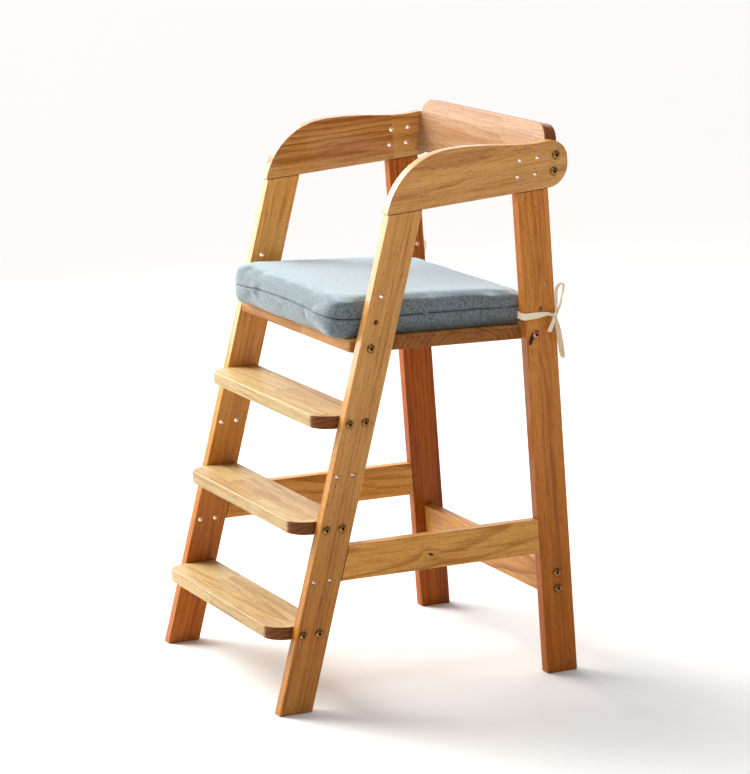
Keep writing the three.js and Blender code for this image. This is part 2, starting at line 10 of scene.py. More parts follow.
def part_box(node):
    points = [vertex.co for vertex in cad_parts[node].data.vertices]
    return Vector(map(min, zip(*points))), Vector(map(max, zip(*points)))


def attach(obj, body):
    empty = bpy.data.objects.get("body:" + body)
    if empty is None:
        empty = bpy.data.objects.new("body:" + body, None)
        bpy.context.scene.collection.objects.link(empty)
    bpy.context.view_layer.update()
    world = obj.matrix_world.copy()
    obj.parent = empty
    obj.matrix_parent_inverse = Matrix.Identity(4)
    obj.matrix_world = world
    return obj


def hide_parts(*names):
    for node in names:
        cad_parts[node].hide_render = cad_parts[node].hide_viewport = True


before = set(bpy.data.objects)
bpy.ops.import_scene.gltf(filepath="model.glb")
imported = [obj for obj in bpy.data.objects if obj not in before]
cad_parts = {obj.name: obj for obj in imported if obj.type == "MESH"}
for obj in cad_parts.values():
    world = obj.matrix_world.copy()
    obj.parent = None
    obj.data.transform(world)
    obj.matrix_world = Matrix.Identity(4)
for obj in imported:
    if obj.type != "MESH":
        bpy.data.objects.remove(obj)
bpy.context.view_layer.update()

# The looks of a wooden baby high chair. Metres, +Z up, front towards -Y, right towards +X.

# ---------------------------------------------------------------- camera

CAMERA_TARGET = Vector((-0.0308, 0.0301, 0.4131))
CAMERA_DISTANCE = 4.485
CAMERA_AZIMUTH = math.radians(62.747)
CAMERA_ELEVATION = math.radians(12.171)
CAMERA_LENS = 136.87


def direction(azimuth, elevation):
    """Unit vector from the object towards a viewer or a light; azimuth 0 is the front, 90 the right."""
    return Vector((
        math.sin(azimuth) * math.cos(elevation),
        -math.cos(azimuth) * math.cos(elevation),
        math.sin(elevation),
    ))


def add_object(name, data):
    made = bpy.data.objects.new(name, data)
    bpy.context.scene.collection.objects.link(made)
    return made


def make_camera():
    lens = bpy.data.cameras.new("camera")
    lens.lens = CAMERA_LENS
    lens.clip_end = 60
    camera = add_object("camera", lens)
    back = direction(CAMERA_AZIMUTH, CAMERA_ELEVATION)
    camera.location = CAMERA_TARGET + back * CAMERA_DISTANCE
    camera.rotation_euler = (-back).to_track_quat("-Z", "Y").to_euler()
    bpy.context.scene.camera = camera


make_camera()

# ---------------------------------------------------------------- node trees


class Graph:
    """Short ways to add nodes. A number, colour or socket may be given for any input."""

    def __init__(self, tree):
        self.tree = tree

    def feed(self, socket, value):
        if isinstance(value, bpy.types.NodeSocket):
            self.tree.links.new(value, socket)
        else:
            socket.default_value = value

    def node(self, kind, inputs=None, output=0, **settings):
        made = self.tree.nodes.new("ShaderNode" + kind)
        for key, value in settings.items():
            setattr(made, key, value)
        for key, value in (inputs or {}).items():
            self.feed(made.inputs[key], value)
        return made.outputs[output]

    def math(self, operation, a, b=0.0):
        return self.node("Math", {0: a, 1: b}, operation=operation)

    def vector(self, operation, a, b=(0, 0, 0)):
        return self.node("VectorMath", {0: a, 1: b}, operation=operation)

    def combine(self, x, y, z):
        return self.node("CombineXYZ", {0: x, 1: y, 2: z})

    def split(self, vector):
        made = self.tree.nodes.new("ShaderNodeSeparateXYZ")
        self.feed(made.inputs[0], vector)
        return made.outputs

    def noise(self, vector, scale=1.0, detail=2.0, roughness=0.5):
        inputs = {"Vector": vector, "Scale": scale, "Detail": detail, "Roughness": roughness}
        return self.node("TexNoise", inputs)

    def random3(self, vector):
        return self.split(self.node("TexWhiteNoise", {0: vector}, output=1))

    def ramp(self, value, low, high, to_low=0.0, to_high=1.0):
        inputs = {0: value, 1: low, 2: high, 3: to_low, 4: to_high}
        return self.node("MapRange", inputs, interpolation_type="SMOOTHSTEP")

    def mix(self, factor, a, b):
        return self.node("Mix", {0: factor, 6: a, 7: b}, output=2, data_type="RGBA")

    def bump(self, height, distance, strength=1.0):
        return self.node("Bump", {"Height": height, "Distance": distance, "Strength": strength})


def colour(red, green, blue):
    """A linear colour from sRGB numbers out of 255."""
    def linear(c):
        c /= 255
        return c / 12.92 if c <= 0.04045 else ((c + 0.055) / 1.055) ** 2.4
    return (linear(red), linear(green), linear(blue), 1.0)


def new_material(name, **constants):
    """A material, its graph and its shader, with constants set on the shader's own sockets."""
    material = bpy.data.materials.new(name)
    material.use_nodes = True
    shader = material.node_tree.nodes["Principled BSDF"]
    for key, value in constants.items():
        shader.inputs[key.replace("_", " ").title().replace("Ior", "IOR")].default_value = value
    return material, Graph(material.node_tree), shader.inputs


# ---------------------------------------------------------------- wood

HONEY = (colour(206, 150, 80), colour(156, 94, 38))
# Used only for a leg's low end: painted shade, darker towards the floor.
HONEY_FOOT_SHADE = (colour(188, 122, 42), colour(138, 72, 14))
BRIGHT_HONEY = (colour(224, 164, 82), colour(176, 110, 40))
RED_HONEY = (colour(206, 132, 58), colour(152, 82, 20))
# Used only for a leg's low end: painted shade, darker towards the floor.
ORANGE_FOOT_SHADE = (colour(190, 107, 14), colour(140, 64, 4))
DEEP_HONEY = (colour(184, 98, 18), colour(130, 54, 4))
# Used only for a leg's low end: painted shade, darker towards the floor.
DEEP_ORANGE_FOOT_SHADE = (colour(168, 88, 12), colour(118, 48, 3))
PALE_HONEY = (colour(194, 168, 118), colour(158, 120, 70))
CREAM = (colour(186, 150, 112), colour(160, 112, 72))
END_GRAIN = (0.17, 0.036, 0.003, 1)


def wood_group():
    """Node group for one piece of wood. Coordinates are metres along, across and through it."""
    tree = bpy.data.node_groups.new("wood_grain", "ShaderNodeTree")
    sockets = (
        ("Coordinates", "NodeSocketVector"), ("Seed", "NodeSocketFloat"),
        ("Stave", "NodeSocketVector"), ("Pith", "NodeSocketVector"),
        ("Ring", "NodeSocketFloat"), ("Knot", "NodeSocketVector"),
        ("Light", "NodeSocketColor"), ("Dark", "NodeSocketColor"),
        ("Figure", "NodeSocketFloat"), ("End", "NodeSocketFloat"),
        ("Bore", "NodeSocketFloat"),
    )
    for name, kind in sockets:
        tree.interface.new_socket(name, in_out="INPUT", socket_type=kind)
    for name, kind in (("Color", "Color"), ("Roughness", "Float"), ("Height", "Float")):
        tree.interface.new_socket(name, in_out="OUTPUT", socket_type="NodeSocket" + kind)
    g = Graph(tree)
    given = tree.nodes.new("NodeGroupInput").outputs
    along, across, through = g.split(given["Coordinates"])
    length, width, offset = g.split(given["Stave"])

    # Staves: rows across the board, cut into blocks that meet in finger joints.
    row = g.math("FLOOR", g.math("DIVIDE", g.math("ADD", across, offset), width))
    row_shift = g.random3(g.combine(row, given["Seed"], 3.7))[0]
    fingers = g.math("MULTIPLY", g.math("PINGPONG", through, 0.0022), 4.0)
    place = g.math("ADD", g.math("DIVIDE", g.math("ADD", along, fingers), length), row_shift)
    block = g.math("FLOOR", place)
    tone, shift, turn = g.random3(g.combine(row, block, given["Seed"]))
    seam_row = g.math("PINGPONG", g.math("DIVIDE", g.math("ADD", across, offset), width), 0.5)
    seam_block = g.math("PINGPONG", place, 0.5)
    seam = g.math("MINIMUM", g.math("MULTIPLY", seam_row, width),
                  g.math("MULTIPLY", seam_block, length))
    glue = g.ramp(seam, 0.0, 0.0005, 1.0, 0.0)

    moved = g.combine(
        g.math("ADD", along, g.math("MULTIPLY", shift, 3.0)),
        g.math("ADD", across, given["Seed"]), g.math("ADD", through, turn))
    pith_across, pith_depth, taper = g.split(given["Pith"])
    slow = g.vector("MULTIPLY", moved, (5.0, 26.0, 26.0))
    waver = g.split(g.node("TexNoise", {"Vector": slow, "Scale": 1.0, "Detail": 2.0}, output=1))

    # Distance from the pith gives the growth rings, which swell round a knot.
    drift = g.math("MULTIPLY", taper, along)
    side = g.math("SUBTRACT", across, pith_across)
    side = g.math("ADD", side, g.math("MULTIPLY", g.math("SUBTRACT", waver[0], 0.5), 0.010))
    side = g.math("ADD", side, g.math("MULTIPLY", g.math("SUBTRACT", turn, 0.5), 0.05))
    depth = g.math("ADD", g.math("SUBTRACT", through, pith_depth), drift)
    depth = g.math("ADD", depth, g.math("MULTIPLY", g.math("SUBTRACT", waver[1], 0.5), 0.012))
    radius = g.math("SQRT", g.math("ADD", g.math("MULTIPLY", side, side),
                                   g.math("MULTIPLY", depth, depth)))
    knot_along, knot_across, knot_size = g.split(given["Knot"])
    knot_run = g.math("SUBTRACT", along, knot_along)
    knot_side = g.math("ADD", g.math("SUBTRACT", across, knot_across),
                       g.math("MULTIPLY", knot_run, 0.35))
    knot_y = g.math("DIVIDE", knot_side, knot_size)
    knot_x = g.math("DIVIDE", knot_run, g.math("MULTIPLY", knot_size, 2.2))
    knot_square = g.math("ADD", g.math("MULTIPLY", knot_x, knot_x),
                         g.math("MULTIPLY", knot_y, knot_y))
    swell = g.math("POWER", 2.718, g.math("MULTIPLY", knot_square, -0.5))
    swirl = g.math("POWER", 2.718, g.math("MULTIPLY", knot_square, -0.07))
    bulge = g.math("ADD", g.math("MULTIPLY", swell, 0.9), g.math("MULTIPLY", swirl, 1.1))
    radius = g.math("ADD", radius, g.math("MULTIPLY", bulge, knot_size))

    rings = g.math("DIVIDE", radius, given["Ring"])
    phase = g.math("FRACT", rings)
    late = g.math("MULTIPLY", g.ramp(phase, 0.35, 0.94), g.ramp(phase, 0.94, 1.0, 1.0, 0.0))
    strength = g.random3(g.combine(g.math("FLOOR", rings), given["Seed"], 1.3))[0]
    figure = g.math("MULTIPLY", g.math("MULTIPLY", late, g.ramp(strength, 0.1, 0.9, 0.25, 1.0)),
                    given["Figure"])

    bands = g.noise(g.vector("MULTIPLY", moved, (1.6, 62.0, 62.0)), detail=3.0)
    cloudy = g.noise(g.vector("MULTIPLY", moved, (14.0, 30.0, 30.0)), detail=2.0)
    fibre = g.noise(g.vector("MULTIPLY", moved, (34.0, 1150.0, 1150.0)), detail=3.0, roughness=0.6)
    streak = g.noise(g.vector("MULTIPLY", moved, (18.0, 420.0, 420.0)), detail=2.0)
    pores = g.ramp(g.noise(g.vector("MULTIPLY", moved, (170.0, 1500.0, 1500.0)), detail=1.0),
                   0.58, 0.68)
    flecks = g.ramp(g.noise(g.vector("MULTIPLY", moved, (120.0, 680.0, 680.0)), detail=1.0),
                    0.60, 0.68)

    dark = g.math("MULTIPLY", figure, 0.62)
    parts = [(g.ramp(bands, 0.34, 0.68), 0.40), (g.ramp(streak, 0.40, 0.70), 0.34)]
    parts += [(g.math("SUBTRACT", value, 0.5), share)
              for value, share in ((fibre, 0.62), (cloudy, 0.36), (tone, 0.42))]
    for part, share in parts:
        dark = g.math("ADD", dark, g.math("MULTIPLY", part, share))
    base = g.mix(g.ramp(dark, -0.10, 1.10), given["Light"], given["Dark"])
    brown = g.mix(0.58, given["Dark"], (0.035, 0.012, 0.003, 1))
    for part, share in ((pores, 0.28), (flecks, 0.36), (glue, 0.30)):
        base = g.mix(g.math("MULTIPLY", part, share), base, brown)
    heart = g.ramp(knot_square, 0.14, 0.30, 0.97, 0.0)
    base = g.mix(heart, base, (0.010, 0.004, 0.001, 1))
    ends = g.mix(0.85, given["Dark"], END_GRAIN)
    ends = g.mix(g.math("MULTIPLY", late, 0.5), ends, (0.04, 0.012, 0.003, 1))
    base = g.mix(given["End"], base, ends)
    # Hole walls mixed towards a paler tone: partly raw drilled wood, partly painted light for the light
    # seen inside the bolt holes.
    base = g.mix(g.math("MULTIPLY", given["Bore"], 0.85), base, colour(214, 164, 112))

    rough = g.math("ADD", 0.36, g.math("MULTIPLY", fibre, 0.12))
    rough = g.math("ADD", rough, g.math("MULTIPLY", pores, 0.18))
    rough = g.math("ADD", rough, g.math("MULTIPLY", given["End"], 0.14))
    height = g.math("MULTIPLY", fibre, 0.25)
    for part, share in ((pores, 0.55), (flecks, 0.45), (glue, 0.8)):
        height = g.math("SUBTRACT", height, g.math("MULTIPLY", part, share))
    result = tree.nodes.new("NodeGroupOutput").inputs
    for name, value in (("Color", base), ("Roughness", rough), ("Height", height)):
        g.feed(result[name], value)
    return tree


WOOD_GRAIN = wood_group()
NO_KNOT = (9.0, 9.0, 0.01)
ONE_STAVE = (8.0, 8.0, 4.0)


def wood(name, tones, along, seed, pith, ring=0.006, figure=0.6, knot=NO_KNOT, stave=ONE_STAVE,
         end=0.9, end_from=0.35, foot=None, gloss=0.10, coat=0.15):
    """Lacquered wood for one board, which has the attribute "grain"; along is its grain's axis,
    end how dark its end grain is, end_from how far a face must turn to show it, and foot the tones
    that the board turns to at its low end, which is painted shade that darkens it towards the floor."""
    material, g, shader = new_material(
        name, specular_ior_level=gloss, coat_weight=coat, coat_roughness=0.12)
    grain = g.node("Attribute", attribute_name="grain", output=1)
    # Painted shade: towards the board's low end its tones turn to the darker foot tones.
    if foot:
        down = g.ramp(g.split(grain)[0], 0.12, -0.30)
        tones = [g.mix(down, upper, lower) for upper, lower in zip(tones, foot)]
    normal = g.node("TexCoord", output=1)
    facing = g.math("ABSOLUTE", g.node("VectorMath", {0: normal, 1: tuple(along)},
                                       output=1, operation="DOT_PRODUCT"))
    made = material.node_tree.nodes.new("ShaderNodeGroup")
    made.node_tree = WOOD_GRAIN
    inputs = {
        "Coordinates": grain, "Seed": seed, "Stave": stave, "Pith": pith, "Ring": ring,
        "Knot": knot, "Light": tones[0], "Dark": tones[1], "Figure": figure,
        "End": g.ramp(facing, end_from, end_from + 0.25, 0.0, end),
        "Bore": g.node("Attribute", attribute_name="bore", output=2),
    }
    for key, value in inputs.items():
        g.feed(made.inputs[key], value)
    g.feed(shader["Base Color"], made.outputs["Color"])
    g.feed(shader["Roughness"], made.outputs["Roughness"])
    g.feed(shader["Normal"], g.bump(made.outputs["Height"], 0.00025, 0.6))
    return material


# ---------------------------------------------------------------- boards

SHARP = math.radians(30)
EDGE_ROUND = 0.0018        # rounded edges of the boards
RIM_ROUND = 0.0006         # bolt holes and nut pockets
JOINT_ROUND = 0.0004       # edges that meet another board
BORE_SIZE = 0.014          # a wall that closes on itself within this is a bolt hole
RIM_SIZE = 0.045           # a ring of edges smaller than this is a hole's rim
SIDE_INNER = 0.192         # inner faces of the side frames


def longest_edge(mesh):
    """Direction of the longest sharp edge, which the grain follows."""
    edges = [e for e in mesh.edges if e.is_manifold and e.calc_face_angle() > SHARP]
    best = max(edges, key=lambda e: e.calc_length())
    way = (best.verts[1].co - best.verts[0].co).normalized()
    return way if max(way, key=abs) > 0 else -way


def flat_normal(mesh):
    """Normal of the broad faces."""
    best = max(mesh.faces, key=lambda f: f.calc_area())
    way = best.normal.copy()
    return way if max(way, key=abs) > 0 else -way


def plane_rings(mesh, normal):
    """Lists of joined-up sharp edges that lie in the two broad planes."""
    levels = [v.co.dot(normal) for v in mesh.verts]
    low, high = min(levels), max(levels)

    def on_plane(edge):
        heights = [v.co.dot(normal) for v in edge.verts]
        return any(all(abs(h - level) < 1e-5 for h in heights) for level in (low, high))

    left = {e for e in mesh.edges
            if e.is_manifold and e.calc_face_angle() > SHARP and on_plane(e)}
    rings = []
    while left:
        ring, queue = [], [left.pop()]
        while queue:
            edge = queue.pop()
            ring.append(edge)
            near = {e for v in edge.verts for e in v.link_edges} & left
            left -= near
            queue.extend(near)
        rings.append(ring)
    return rings


def ring_size(ring):
    points = np.array([v.co for e in ring for v in e.verts])
    return float((points.max(0) - points.min(0)).max())


def edge_rounds(mesh, normal, is_joint):
    """How far each edge of a board is rounded."""
    rounds, outline = {}, set()
    for ring in plane_rings(mesh, normal):
        hole = ring_size(ring) < RIM_SIZE
        for edge in ring:
            rounds[edge] = RIM_ROUND if hole else EDGE_ROUND
            if not hole:
                outline.update(edge.verts)
    for edge in mesh.edges:
        if edge in rounds or not edge.is_manifold or edge.calc_face_angle() < SHARP:
            continue
        if all(v in outline for v in edge.verts):
            rounds[edge] = EDGE_ROUND
    for edge in rounds:
        if is_joint(edge):
            rounds[edge] = min(rounds[edge], JOINT_ROUND)
    return rounds


def refill(mesh, *ways):
    """Fresh triangles for the flat faces that end a board each way, which have holes in them."""
    for way in ways:
        for normal in (way, -way):
            level = max(v.co.dot(normal) for v in mesh.verts) - 1e-5
            flat = [f for f in mesh.faces if all(v.co.dot(normal) > level for v in f.verts)]
            border = {e for f in flat for e in f.edges
                      if not all(other in flat for other in e.link_faces)}
            bmesh.ops.delete(mesh, geom=flat, context="FACES")
            bmesh.ops.triangle_fill(mesh, edges=list(border), use_beauty=True, normal=normal)
    mesh.normal_update()


def board(node, slot, joint=lambda middle: False, start=0.0, **look):
    """A wooden board in place of its CAD node, with rounded edges; start moves its grain along."""
    mesh = bmesh.new()
    mesh.from_mesh(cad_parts[node].data)
    bmesh.ops.remove_doubles(mesh, verts=mesh.verts, dist=2e-5)
    bmesh.ops.dissolve_limit(mesh, angle_limit=math.radians(0.3), verts=mesh.verts,
                             edges=mesh.edges)
    mesh.normal_update()
    along, through = longest_edge(mesh), flat_normal(mesh)
    across = through.cross(along)
    refill(mesh, through, along)
    weights = mesh.edges.layers.float.new("bevel_weight_edge")
    rounds = edge_rounds(mesh, through, lambda e: joint((e.verts[0].co + e.verts[1].co) / 2))
    for edge, size in rounds.items():
        edge[weights] = size / EDGE_ROUND
    data = bpy.data.meshes.new(node)
    mesh.to_mesh(data)
    mesh.free()
    piece = add_object("wood_" + node, data)
    bevel = piece.modifiers.new("round", "BEVEL")
    bevel.limit_method = "WEIGHT"
    bevel.width = EDGE_ROUND
    bevel.segments = 3
    bevel.use_clamp_overlap = False
    bevel.loop_slide = False
    apply_modifiers(piece)
    data = piece.data
    mesh = bmesh.new()
    mesh.from_mesh(data)
    refill(mesh, through, along)
    mesh.to_mesh(data)
    mesh.free()
    data.shade_smooth()
    data.set_sharp_from_angle(angle=SHARP)
    weighted = piece.modifiers.new("normals", "WEIGHTED_NORMAL")
    weighted.keep_sharp = True
    points = vertex_array(data)
    middle = (points.max(0) + points.min(0)) / 2
    axes = np.array([along, across, through])
    grain = data.attributes.new("grain", "FLOAT_VECTOR", "POINT")
    local = (points - middle) @ axes.T + (start, 0, 0)
    grain.data.foreach_set("vector", local.astype(np.float32).ravel())
    bores = bore_points(data, through)
    data.attributes.new("bore", "FLOAT", "POINT").data.foreach_set("value", bores)
    data.materials.append(wood("wood_" + node, along=along, **look))
    finish_piece(piece, slot, node)


def bore_points(data, through):
    """1 for the points of bolt holes, 0 elsewhere."""
    mesh = bmesh.new()
    mesh.from_mesh(data)
    found = np.zeros(len(mesh.verts), np.float32)
    walls = {f for f in mesh.faces if abs(f.normal.dot(through)) < 0.5}
    while walls:
        group, queue = [], [walls.pop()]
        while queue:
            face = queue.pop()
            group.append(face)
            near = {other for e in face.edges for other in e.link_faces} & walls
            walls -= near
            queue.extend(near)
        points = np.array([v.co - through * v.co.dot(through) for f in group for v in f.verts])
        if float((points.max(0) - points.min(0)).max()) < BORE_SIZE:
            for face in group:
                for vertex in face.verts:
                    found[vertex.index] = 1
    mesh.free()
    return found


def vertex_array(data):
    points = np.zeros(len(data.vertices) * 3, np.float32)
    data.vertices.foreach_get("co", points)
    return points.reshape(-1, 3).astype(float)


def apply_modifiers(piece):
    """The piece's mesh becomes what its modifiers make of it."""
    evaluated = piece.evaluated_get(bpy.context.evaluated_depsgraph_get())
    piece.data = bpy.data.meshes.new_from_object(evaluated)
    piece.modifiers.clear()


def finish_piece(piece, slot, *nodes):
    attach(piece, "root")
    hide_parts(*nodes)


SIDES = {"left": -1, "right": 1}
UNDER_ARM = 0.700          # above this height a leg's end edges are a joint
RAIL_JOINT = 0.035         # a rail's edges this near to its ends meet a leg
# A leg's foot tones are painted shade, which darkens the leg towards the floor.
LEG_LOOKS = {
    "front_leg_right": dict(tones=HONEY, foot=HONEY_FOOT_SHADE, coat=0.40, seed=3.1,
                            pith=(0.10, -0.09, 0.01)),
    "front_leg_left": dict(tones=BRIGHT_HONEY, foot=ORANGE_FOOT_SHADE, coat=0.40, seed=7.4,
                           pith=(-0.08, -0.11, -0.01)),
    "rear_leg_right": dict(tones=RED_HONEY, foot=ORANGE_FOOT_SHADE, coat=0.22, seed=11.9,
                           pith=(0.07, -0.10, 0.01), knot=(0.1433, 0.0185, 0.0085)),
    "rear_leg_left": dict(tones=DEEP_HONEY, foot=DEEP_ORANGE_FOOT_SHADE, seed=5.2, pith=(-0.09, -0.08, 0.0)),
}
FLAME = dict(ring=0.0085, figure=1.0)
RAIL_LOOKS = {
    "side_stretcher_right": dict(tones=BRIGHT_HONEY, seed=2.3, pith=(0.002, -0.035, 0.07),
                                 knot=(-0.02, -0.004, 0.004), **FLAME),
    "side_stretcher_left": dict(tones=BRIGHT_HONEY, seed=9.6, pith=(0.01, -0.04, -0.05),
                                knot=(0.06, 0.002, 0.004), **FLAME),
}
ARM_LOOKS = {
    "armrest_right": dict(tones=HONEY, seed=4.0, pith=(0.05, -0.10, 0.02), end=0.10,
                          coat=0.60),
    "armrest_left": dict(tones=(HONEY[0], RED_HONEY[1]), seed=6.6, pith=(-0.05, -0.10, 0.02),
                         stave=(0.21, 0.5, 0.25), start=-0.07, figure=0.9, end=0.10, coat=0.60),
}


def make_boards():
    leg_joint = lambda middle: middle.z > UNDER_ARM
    for side in SIDES:
        for kind in ("front_leg", "rear_leg"):
            node = f"{kind}_{side}"
            board(node, kind, leg_joint, **LEG_LOOKS[node])
        low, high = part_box(f"side_stretcher_{side}")
        rail_joint = lambda middle, low=low, high=high: (
            middle.y < low.y + RAIL_JOINT or middle.y > high.y - RAIL_JOINT)
        board(f"side_stretcher_{side}", "side_stretcher", rail_joint,
              **RAIL_LOOKS[f"side_stretcher_{side}"])
        board(f"armrest_{side}", "armrest", **ARM_LOOKS[f"armrest_{side}"])
    for index, level in enumerate(("lower", "middle", "upper")):
        board(f"step_{level}", "step", tones=PALE_HONEY, seed=20.5 + 3.3 * index,
              pith=(0.01, -0.05, 0.03), ring=0.007, figure=0.8, stave=(0.26, 0.042, 0.02),
              end=1.0, end_from=0.05, gloss=0.12, coat=0.10)
    board("seat_board", "seat_board", tones=HONEY, seed=31.7, pith=(0.02, -0.06, 0.02),
          ring=0.008, figure=0.7, stave=(0.30, 0.055, 0.03), end=0.7)
    board("backrest", "backrest", tones=CREAM, seed=40.2, pith=(0.01, -0.05, 0.04),
          ring=0.009, figure=0.6, stave=(0.25, 0.5, 0.25))
    board("rear_stretcher", "rear_stretcher", tones=HONEY, seed=45.8,
          pith=(0.01, -0.04, 0.06), **FLAME)


make_boards()

# ---------------------------------------------------------------- bolts and nuts

HEAD_RADIUS = 0.0063
HEAD_HEIGHT = 0.0034
SHANK_RADIUS = 0.003
BOLT_LENGTH = 0.050
RIM_HEIGHT = 0.0008        # where the head's dome begins
KEY_RADIUS = 0.0023        # over the corners of the hexagon
KEY_DEPTH = 0.0020
TURNS = 24                 # points round a bolt
COPPERY_BOLT = "seat_bolt_right_rear"


def antique_metal(name, tone):
    """Metal whose recesses have darkened with patina and whose rim is darkened, partly patina and
    partly painted shade; its bolts' axes are their own Z.
    """
    material, g, shader = new_material(name, metallic=1.0)
    place = g.node("TexCoord", output=3)
    x, y, z = g.split(place)
    radius = g.math("SQRT", g.math("ADD", g.math("MULTIPLY", x, x), g.math("MULTIPLY", y, y)))
    spots = g.noise(place, scale=900.0, detail=3.0)
    # Dark ring round the lower rim of the head: partly patina, partly painted shade where the dome
    # meets the wood.
    rim = g.ramp(radius, 0.0049, 0.0060)
    rim = g.math("MULTIPLY", rim, g.ramp(z, 0.0030, 0.0020))
    key = g.ramp(g.math("ADD", radius, g.math("MULTIPLY", z, 0.15)), 0.0030, 0.0024)
    dark = g.math("MAXIMUM", g.math("MULTIPLY", rim, 0.5), key)
    dark = g.math("MAXIMUM", dark, g.ramp(spots, 0.50, 0.75, 0.0, 0.6))
    base = g.mix(dark, tone, colour(36, 26, 12))
    g.feed(shader["Base Color"], base)
    g.feed(shader["Roughness"], g.math("ADD", 0.24, g.math("MULTIPLY", dark, 0.30)))
    g.feed(shader["Normal"], g.bump(g.noise(place, scale=2600.0), 0.00006, 0.5))
    return material


def zinc():
    material, g, shader = new_material("zinc_plated_steel", metallic=1.0)
    place = g.node("TexCoord", output=3)
    brushing_and_painted_top_light = g.noise(g.vector("MULTIPLY", place, (300.0, 300.0, 4000.0)), detail=3.0)
    cloudy = g.noise(place, scale=220.0, detail=2.0)
    g.feed(shader["Base Color"], g.mix(cloudy, colour(196, 198, 200), colour(150, 153, 158)))
    g.feed(shader["Roughness"], g.math("ADD", 0.28, g.math("MULTIPLY", brushing_and_painted_top_light, 0.2)))
    g.feed(shader["Normal"], g.bump(brushing_and_painted_top_light, 0.00008, 0.5))
    return material


def bolt_mesh():
    """A button-head bolt along Z, the origin under its head, with a socket for a hexagon key."""
    mesh = bmesh.new()
    dome = [(HEAD_RADIUS * math.cos(t), RIM_HEIGHT + (HEAD_HEIGHT - RIM_HEIGHT) * math.sin(t))
            for t in (math.radians(a) for a in range(0, 61, 12))]
    flat = [(HEAD_RADIUS * 0.44, HEAD_HEIGHT * 0.985)]
    profile = [(SHANK_RADIUS * 0.75, -BOLT_LENGTH), (SHANK_RADIUS, -BOLT_LENGTH + 0.0008),
               (SHANK_RADIUS, 0.0), (HEAD_RADIUS - 0.0003, 0.0), (HEAD_RADIUS, 0.0003)]
    rings = [round_ring(mesh, radius, z) for radius, z in profile + dome + flat]
    key_top = HEAD_HEIGHT * 0.97
    for z in (key_top, key_top - 0.0003, key_top - KEY_DEPTH):
        rings.append(hexagon_ring(mesh, KEY_RADIUS + (0.0002 if z == key_top else 0), z))
    for lower, upper in zip(rings, rings[1:]):
        for i in range(TURNS):
            j = (i + 1) % TURNS
            mesh.faces.new((lower[i], lower[j], upper[j], upper[i]))
    mesh.faces.new(list(reversed(rings[0])))
    tip = mesh.verts.new((0, 0, key_top - KEY_DEPTH - 0.0008))
    for i in range(TURNS):
        mesh.faces.new((rings[-1][i], rings[-1][(i + 1) % TURNS], tip))
    data = bpy.data.meshes.new("button_head_bolt")
    mesh.to_mesh(data)
    mesh.free()
    data.shade_smooth()
    data.set_sharp_from_angle(angle=math.radians(38))
    return data


def round_ring(mesh, radius, z):
    turns = (2 * math.pi * i / TURNS for i in range(TURNS))
    return [mesh.verts.new((radius * math.cos(t), radius * math.sin(t), z)) for t in turns]


def hexagon_ring(mesh, radius, z):
    """Points round a hexagon, TURNS / 6 to a side."""
    share = TURNS // 6
    corners = [Vector((radius * math.cos(a), radius * math.sin(a), z))
               for a in (math.pi / 3 * k for k in range(7))]
    return [mesh.verts.new(corners[i // share].lerp(corners[i // share + 1], i % share / share))
            for i in range(TURNS)]


def make_bolts():
    random.seed(11)
    brass = bolt_mesh()
    brass.materials.append(antique_metal("antique_brass", colour(158, 118, 66)))
    copper = brass.copy()
    copper.materials[0] = antique_metal("coppery_brass", colour(206, 132, 112))
    for node in sorted(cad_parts):
        if "_bolt_" not in node:
            continue
        low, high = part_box(node)
        sign = 1 if low.x > 0 else -1
        head = high.x if sign > 0 else low.x
        piece = add_object("brass_" + node, copper if node == COPPERY_BOLT else brass)
        turn = Matrix.Rotation(random.uniform(0, math.pi), 4, "Z")
        aim = Matrix.Rotation(sign * math.pi / 2, 4, "Y")
        place = Vector((head - sign * HEAD_HEIGHT, (low.y + high.y) / 2, (low.z + high.z) / 2))
        piece.matrix_world = Matrix.Translation(place) @ aim @ turn
        finish_piece(piece, "bolt", node)


def make_nuts():
    steel = zinc()
    for node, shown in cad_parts.items():
        if "_nut_" in node:
            shown.data.materials.clear()
            shown.data.materials.append(steel)


make_bolts()
make_nuts()

# ---------------------------------------------------------------- cushion

VOXEL = 0.004
SWELL_STEPS = 20
MOST_SWELL = 0.006
TOP_EDGE = 0.005           # rounding of the cushion's top edges
BOTTOM_EDGE = 0.013
CUSHION_CORNER = 0.030
CUSHION_TALL = 0.052       # before it swells
NARROWER = 0.010           # than the CAD cushion, before it swells
SHORTER = 0.009
CUSHION_RISE = 0.007       # how much taller it is in front than at the back
FRONT_BOW = 0.008          # how far the front's ends stand back from its middle
FRONT_ROLL = 0.006         # how far the front's top edge rolls back
FRONT_DROP = 0.004
ROLL_REACH = 0.028         # how far from the front the roll begins
REAR_DROP = 0.005          # how far the top falls away at the rear
DROP_REACH = 0.100
TUCK = 0.012               # how far the lowest part of the sides goes in
TUCK_HEIGHT = 0.014
SEAT_CLEARANCE = 0.0006
FRAME_CLEARANCE = 0.001    # between the cushion and the side frames
SEAM_LINES = (-0.0036, -0.0014, 0.0, 0.0014, 0.0036)    # cuts beside a seam, to crease along
SEAM_DEPTH = 0.0026
SEAM_WIDTH = 0.0014
SEAM_SHARE = 0.66          # the seam's height in the middle of the front, as a share of the side's
SEAM_SAG = 0.006           # how much lower it runs at the sides
CORNER_REACH = 0.02        # how far out from a corner's middle its seam begins
FADE_FROM = 0.016          # below the side seam, where the corner seams begin to fade
FADE_RUN = 0.012
ABOVE_SHARE = 0.15         # of a corner seam's depth, above the side seam
CORNER_DEPTH = 0.7         # of a side seam's depth
CORNER_SHADE = 0.45        # of a side seam's painted shade
GATHER_REACH = 0.024       # the cloth is gathered this far to each side of a corner seam
